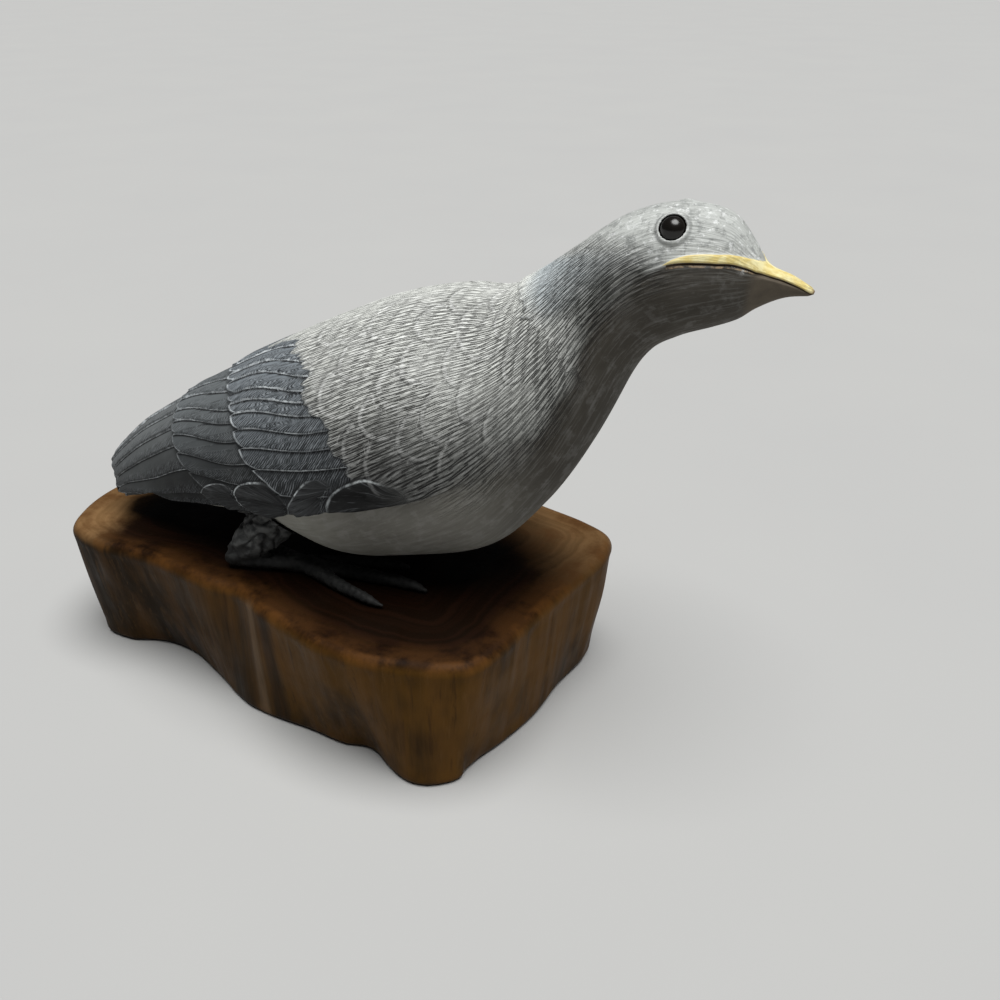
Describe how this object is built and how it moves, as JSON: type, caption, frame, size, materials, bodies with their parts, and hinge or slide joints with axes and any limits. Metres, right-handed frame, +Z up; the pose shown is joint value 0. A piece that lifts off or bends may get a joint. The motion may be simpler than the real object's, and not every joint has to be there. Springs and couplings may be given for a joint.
{
  "type": "squatting mockingbird decoy on wood base",
  "caption": "Plump carved and painted songbird with glass eyes and a yellow bill, squatting on a thick natural-edged wood slab.",
  "frame": {"origin": "middle of the wood slab's underside", "axes": "+X the way the bird faces, +Y to the bird's left, +Z up"},
  "size_m": [0.2197, 0.1289, 0.1521],
  "materials": {
    "polished_wood": "waxed, soft gloss",
    "painted_wood": "matt paint over burned feather lines",
    "eye_glass": "glossy black",
    "painted_leg": "matt dark grey paint"
  },
  "bodies": {
    "root": {"wood_base": "polished_wood", "bird_body": "painted_wood", "eye_right": "eye_glass", "eye_left": "eye_glass", "leg_right": "painted_leg", "leg_left": "painted_leg"}
  },
  "joints": []
}
